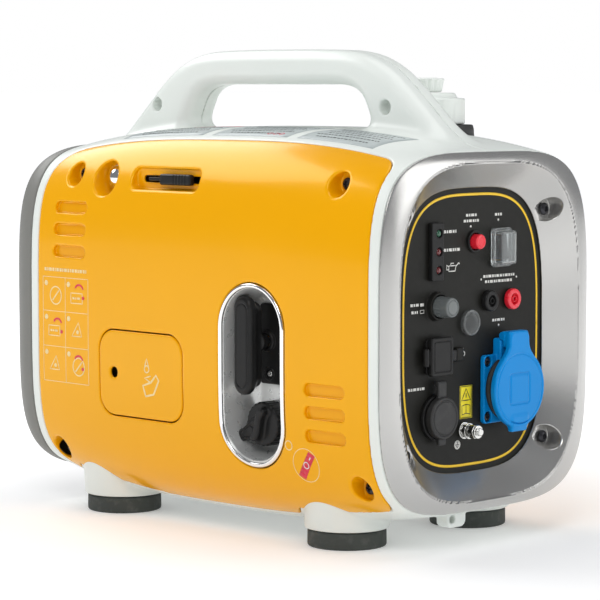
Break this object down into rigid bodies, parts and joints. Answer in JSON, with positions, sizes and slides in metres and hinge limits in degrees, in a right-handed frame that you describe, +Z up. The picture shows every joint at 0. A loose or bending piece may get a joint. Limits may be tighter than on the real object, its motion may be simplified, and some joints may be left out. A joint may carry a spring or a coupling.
{
  "type": "portable inverter generator",
  "caption": "Portable inverter generator in a rounded case with carry handle, side covers, recoil starter, fuel cap and a recessed panel of sockets, switches and flip covers.",
  "frame": {"origin": "centre of the footprint, on the ground under the rubber feet", "axes": "+X towards the control panel, -Y towards the recoil starter, +Z up"},
  "size_m": [0.416, 0.2406, 0.366],
  "materials": {
    "white_shell": "moulded plastic, warm white with a slight green cast, soft satin gloss",
    "yellow_shell": "glossy moulded plastic, golden yellow",
    "grey_plastic": "fine-grained mid-grey moulded plastic",
    "silver_bezel": "metallic silver paint with soft gloss",
    "panel_black": "satin black with a printed yellow outline and white pictograms",
    "chrome_trim": "polished chrome plate",
    "black_plastic": "satin black moulded plastic",
    "tank_plastic": "blow-moulded dark plastic",
    "rubber": "dull dark rubber",
    "cast_aluminium": "sand-cast aluminium",
    "steel": "machined and zinc-plated steel",
    "copper": "enamelled copper windings on a laminated core",
    "blue_plastic": "satin blue moulded plastic",
    "red_plastic": "glossy red moulded plastic",
    "smoke_plastic": "smoky grey moulded plastic",
    "clear_plastic": "clear soft plastic",
    "braided_rope": "braided black cord",
    "screw_black": "blackened steel screw"
  },
  "bodies": {
    "chassis": {"frame_left": "white_shell", "frame_right": "white_shell", "side_cover_left": "yellow_shell", "side_cover_right": "yellow_shell", "rear_cover": "grey_plastic", "front_bezel": "silver_bezel", "control_panel": "panel_black", "recoil_recess": "chrome_trim", "guide_plate": "black_plastic", "fuel_tank": "tank_plastic", "filler_seal": "rubber", "crankcase": "cast_aluminium", "cylinder_head": "cast_aluminium", "carburettor": "cast_aluminium", "air_cleaner": "black_plastic", "muffler": "steel", "stator": "copper", "inverter_module": "cast_aluminium", "recoil_housing": "steel", "foot_front_left": "rubber", "foot_front_right": "rubber", "foot_rear_left": "rubber", "foot_rear_right": "rubber", "ac_socket": "blue_plastic", "led_strip": "black_plastic", "banana_socket_black": "black_plastic", "banana_socket_red": "red_plastic", "parallel_connector": "clear_plastic", "usb_socket": "black_plastic", "dc_socket": "black_plastic", "earth_stud": "steel", "eco_boot": "clear_plastic", "dome_bolt": "chrome_trim", "cover_screw_rear_top": "screw_black", "cover_screw_front_top": "screw_black", "cover_screw_rear_bottom": "screw_black", "cover_screw_front_bottom": "screw_black", "bezel_screw_top_left": "screw_black", "bezel_screw_top_right": "screw_black", "bezel_screw_bottom_left": "screw_black", "bezel_screw_bottom_right": "screw_black"},
    "fuel_cap": {"fuel_cap": "white_shell"},
    "fuel_cap_vent": {"fuel_cap_vent": "white_shell"},
    "starter_grip": {"starter_grip": "black_plastic", "starter_rope": "braided_rope"},
    "recoil_pulley": {"recoil_pulley": "black_plastic"},
    "crank": {"crankshaft": "steel", "flywheel_rotor": "steel"},
    "engine_knob": {"engine_knob": "black_plastic"},
    "choke_lever": {"choke_lever": "black_plastic"},
    "access_cover": {"access_cover": "yellow_shell", "access_screw": "screw_black"},
    "oil_filler_cap": {"oil_filler_cap": "black_plastic"},
    "run_button": {"run_button": "smoke_plastic"},
    "reset_button": {"reset_button": "red_plastic"},
    "eco_rocker": {"eco_rocker": "black_plastic"},
    "usb_cover": {"usb_cover": "black_plastic"},
    "dc_cap": {"dc_cap": "rubber"},
    "ac_lid": {"ac_lid": "blue_plastic"},
    "earth_nut": {"earth_nut": "steel"}
  },
  "joints": [
    {"name": "fuel_cap_lift", "type": "slide", "parent": "chassis", "child": "fuel_cap", "axis": [0, 0, 1], "range_m": [0, 0.05]},
    {"name": "cap_vent_turn", "type": "hinge", "parent": "fuel_cap", "child": "fuel_cap_vent", "pos_m": [0.091, 0.06, 0.338], "axis": [0, 0, -1], "range_deg": [0, 90]},
    {"name": "starter_pull", "type": "slide", "parent": "chassis", "child": "starter_grip", "axis": [0, -1, 0], "range_m": [0, 0.6], "stiffness_N_per_m": 12, "springref_m": -0.6},
    {"name": "pulley_turn", "type": "hinge", "parent": "chassis", "child": "recoil_pulley", "pos_m": [0.069, 0, 0.119], "axis": [1, 0, 0], "range_deg": [0, 1150]},
    {"name": "crank_turn", "type": "hinge", "parent": "chassis", "child": "crank", "pos_m": [0.013, 0, 0.119], "axis": [1, 0, 0], "continuous": true},
    {"name": "engine_knob_turn", "type": "hinge", "parent": "chassis", "child": "engine_knob", "pos_m": [0.0755, -0.1, 0.088], "axis": [0, -1, 0], "range_deg": [0, 90]},
    {"name": "choke_slide", "type": "slide", "parent": "chassis", "child": "choke_lever", "axis": [-1, 0, 0], "range_m": [0, 0.014]},
    {"name": "access_cover_off", "type": "slide", "parent": "chassis", "child": "access_cover", "axis": [0, -1, 0], "range_m": [0, 0.06]},
    {"name": "oil_cap_turn", "type": "hinge", "parent": "chassis", "child": "oil_filler_cap", "pos_m": [-0.067, -0.062, 0.084], "axis": [0, -1, 0], "range_deg": [0, 720]},
    {"name": "run_button_push", "type": "slide", "parent": "chassis", "child": "run_button", "axis": [-1, 0, 0], "range_m": [0, 0.004], "stiffness_N_per_m": 900, "springref_m": -0.003},
    {"name": "reset_button_push", "type": "slide", "parent": "chassis", "child": "reset_button", "axis": [-1, 0, 0], "range_m": [0, 0.0025], "stiffness_N_per_m": 900, "springref_m": -0.003},
    {"name": "eco_rocker_tilt", "type": "hinge", "parent": "chassis", "child": "eco_rocker", "pos_m": [0.187, 0.0315, 0.2185], "axis": [0, -1, 0], "range_deg": [0, 16]},
    {"name": "usb_cover_open", "type": "hinge", "parent": "chassis", "child": "usb_cover", "pos_m": [0.1926, -0.056, 0.1423], "axis": [0, 0, -1], "range_deg": [0, 110]},
    {"name": "dc_cap_open", "type": "hinge", "parent": "chassis", "child": "dc_cap", "pos_m": [0.1929, -0.0405, 0.1225], "axis": [0, -1, 0], "range_deg": [0, 120]},
    {"name": "ac_lid_open", "type": "hinge", "parent": "chassis", "child": "ac_lid", "pos_m": [0.197, 0.035, 0.1532], "axis": [0, -1, 0], "range_deg": [0, 110], "stiffness_Nm_per_rad": 0.02, "springref_deg": -22.92},
    {"name": "earth_nut_turn", "type": "hinge", "parent": "chassis", "child": "earth_nut", "pos_m": [0.199, -0.009, 0.085], "axis": [1, 0, 0], "continuous": true}
  ],
  "couplings": [
    {"joint": "pulley_turn", "follows": "starter_pull", "rad_per_m": 33.333}
  ]
}
